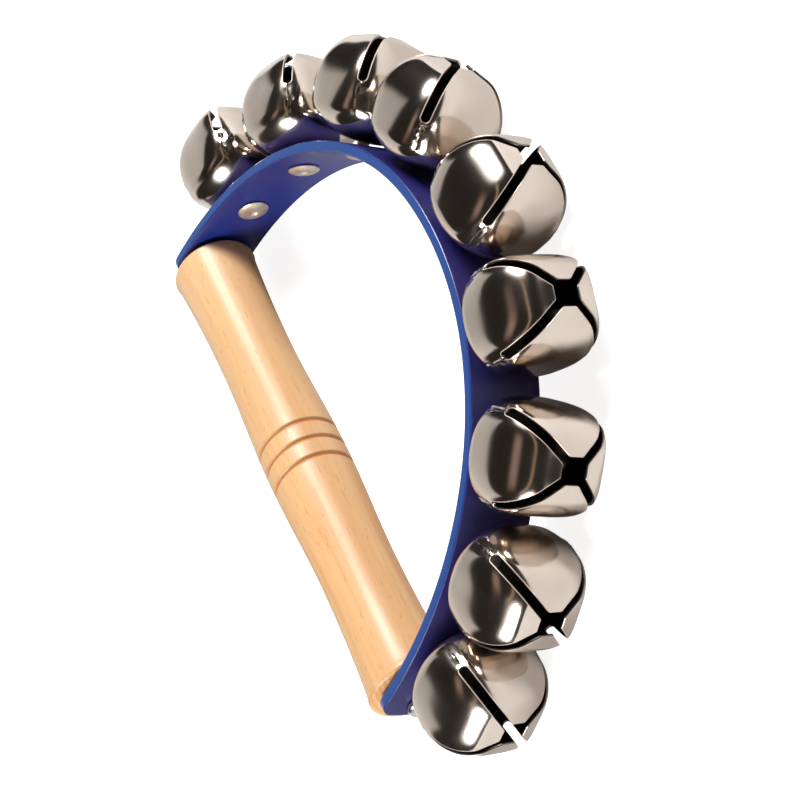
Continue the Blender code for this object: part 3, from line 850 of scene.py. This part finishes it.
def add_screw(path, side, sign, material):
    """A round-headed screw, its head over the strap's end."""
    profile = [*SCREW_TIP, (SCREW_SHANK_RADIUS, 0), (SCREW_HEAD_RADIUS, 0)]
    profile += [(SCREW_HEAD_RADIUS, SCREW_HEAD_RIM)]
    dome_steps = 12
    for step in range(1, dome_steps):
        angle = math.pi / 2 * step / dome_steps
        level = SCREW_HEAD_RIM + (SCREW_HEAD_HEIGHT - SCREW_HEAD_RIM) * math.sin(angle)
        profile.append((SCREW_HEAD_RADIUS * math.cos(angle), level))
    profile.append((0, SCREW_HEAD_HEIGHT))
    bm = spun(profile, SMALL_SIDES)
    place = to_frame @ screw_place(path, sign) @ Matrix.Translation((0, 0, SEAT_GAP))
    bmesh.ops.transform(bm, matrix=place, verts=bm.verts)
    finished_piece(f"screw_{side}", bm, material, "ring", "screw_steel", f"handle_screw_{side}")


def add_world():
    """White where the camera, a mirror or a lens looks past everything, and dim for soft light."""
    world = bpy.data.worlds.new("studio")
    bpy.context.scene.world = world
    finish = Finish(world)
    background = finish.tree.nodes["Background"]
    shown = seen(finish).highest(mirrored(finish))
    tint = finish.blend(shown, (*STUDIO_DARK, 1), (1, 1, 1, 1))
    finish.tree.links.new(tint.socket, background.inputs["Color"])
    background.inputs["Strength"].default_value = 1.0


def seen(finish):
    """1 for camera rays."""
    return finish.node("ShaderNodeLightPath", output=0)


def mirrored(finish):
    """1 for glossy and transmission rays, in which the metal shows the studio."""
    glossy, through = (finish.node("ShaderNodeLightPath", output=ray) for ray in (3, 6))
    return glossy.highest(through)


def add_tent():
    """The dark room as the metal mirrors it: a paper sweep, the windows' halos, a glow above and a rail."""
    bm = bmesh.new()
    bmesh.ops.create_uvsphere(bm, u_segments=64, v_segments=32, radius=TENT_RADIUS)
    cut = {"plane_co": (0, 0, TENT_BOTTOM), "plane_no": (0, 0, -1), "clear_outer": True}
    bmesh.ops.bisect_plane(bm, geom=bm.verts[:] + bm.edges[:] + bm.faces[:], **cut)
    bmesh.ops.reverse_faces(bm, faces=bm.faces)
    finish = new_finish("dark_room", (0, 0, 0), 1.0, Specular_IOR_Level=0.0, Emission_Strength=1.0)
    way = finish.place(scale=(1 / TENT_RADIUS,) * 3)
    height = finish.part(way, "Z")
    forth, aside = (finish.toward(way, aim(SWEEP_AZIMUTH + turn, 0)) for turn in (0, 90))
    # The paper is darker higher up, and paler to one side
    shade = (0.9 - 0.55 * height) * (0.92 + 0.3 * aside)
    pale = forth.smooth_step(*SWEEP_START) * aside.near(0, *SWEEP_SIDES)
    pale = pale * (1 - height.smooth_step(*SWEEP_TOP)) * shade
    for _, azimuth, lift, size, _ in LAMPS:
        reach = math.atan2(sum(size) / 4, LAMP_DISTANCE)
        edges = [math.cos(reach + math.radians(width)) for width in (HALO_OUTSIDE, HALO_INSIDE)]
        halo = finish.toward(way, aim(azimuth, lift)).smooth_step(*edges) ** HALO_FALLOFF
        pale = pale.highest(halo)
    forth, aside = (finish.toward(way, aim(RAIL_AZIMUTH + turn, 0)) for turn in (0, 90))
    glow = forth.near(GLOW_FORTH, *GLOW_FORTH_EDGES) * aside.near(GLOW_ASIDE, *GLOW_ASIDE_EDGES)
    rail = height.near(RAIL_HEIGHT, *RAIL_EDGES) * forth.smooth_step(*RAIL_START)
    room = finish.blend(glow, (*STUDIO_DARK, 1), (*CEILING_GLOW, 1))
    room = finish.blend(rail, room, (*RAIL_GLOW, 1))
    vary(finish, Emission_Color=finish.blend(pale, room, (*SWEEP_PAPER, 1)))
    tent = staged("tent", bm, finish.owner)
    tent.visible_camera = False
    tent.visible_shadow = False


def aim(azimuth, height):
    """The unit vector towards an azimuth and a height in degrees."""
    turn, rise = math.radians(azimuth), math.radians(height)
    return Vector((math.cos(turn) * math.cos(rise), math.sin(turn) * math.cos(rise), math.sin(rise)))


def staged(name, bm, material):
    """A thing of the studio that isn't part of the ring."""
    mesh = bpy.data.meshes.new(name)
    bm.to_mesh(mesh)
    bm.free()
    mesh.materials.append(material)
    thing = bpy.data.objects.new(name, mesh)
    bpy.context.scene.collection.objects.link(thing)
    return thing


def add_floor():
    """The table, pale grey to the light and lifted to white for the camera."""
    bm = bmesh.new()
    bmesh.ops.create_grid(bm, x_segments=4, y_segments=4, size=FLOOR_REACH)
    finish = new_finish("pale_floor", FLOOR_GREY, 0.9, Emission_Strength=1.0)
    vary(finish, Emission_Color=finish.blend(seen(finish), (0, 0, 0, 1), (*[FLOOR_LIFT] * 3, 1)))
    floor = staged("floor", bm, finish.owner)
    floor.location.z = cad_box[0].z


def add_softbox(name, away, size, power):
    """A rectangular lamp that faces the middle of the ring."""
    lamp = bpy.data.lights.new(name, "AREA")
    lamp.shape = "RECTANGLE"
    lamp.size, lamp.size_y = size
    lamp.energy = power
    holder = bpy.data.objects.new(name, lamp)
    bpy.context.scene.collection.objects.link(holder)
    holder.location = away * LAMP_DISTANCE
    holder.rotation_mode = "QUATERNION"
    holder.rotation_quaternion = away.to_track_quat("Z", "Y")


def add_camera():
    """The photograph's view: from above the table beside the lower bells, turned on its side."""
    look = bpy.data.cameras.new("camera")
    look.sensor_width = CAMERA_SENSOR
    look.lens = CAMERA_LENS
    camera = bpy.data.objects.new("camera", look)
    bpy.context.scene.collection.objects.link(camera)
    right, up = Vector(CAMERA_RIGHT), Vector(CAMERA_UP)
    turned = Matrix((right, up, right.cross(up))).transposed().to_4x4()
    camera.matrix_world = Matrix.Translation(centre + Vector(CAMERA_PLACE)) @ turned
    look.clip_start = 0.01
    look.clip_end = 20
    bpy.context.scene.camera = camera


def add_pellets(material):
    for number in range(1, BELL_COUNT + 1):
        low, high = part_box(f"pellet_{number}")
        bm = bmesh.new()
        radius = (high.z - low.z) / 2
        place = Matrix.Translation((low + high) / 2)
        bmesh.ops.create_icosphere(bm, subdivisions=4, radius=radius, matrix=place)
        finished_piece(
            f"steel_pellet_{number}",
            bm,
            material,
            f"loose_pellet_{number}",
            "pellet_steel",
            f"pellet_{number}",
        )


def dress():
    path = StrapPath()
    seats = path.seats()
    add_strap(path, strap_finishes())
    add_grip(beech_finish(), end_grain_finish())
    inside, cut_edge = bell_inside_finish(), cut_edge_finish()
    bell_materials = [nickel_finish(), inside, cut_edge, painted_glint_finish(), inside, cut_edge]
    rivet_material = rivet_finish()
    for i, seat in enumerate(seats):
        add_bell(i, seat, bell_materials)
        add_rivet(i, seat, rivet_material)
    screw_material = screw_finish()
    for side, sign in (("upper", 1), ("lower", -1)):
        add_screw(path, side, sign, screw_material)
    add_pellets(pellet_finish())


def light():
    add_world()
    add_tent()
    add_floor()
    for name, azimuth, height, size, power in LAMPS:
        add_softbox(name, aim(azimuth, height), size, power)


bpy.context.scene.view_settings.view_transform = "Standard"
dress()
light()
add_camera()
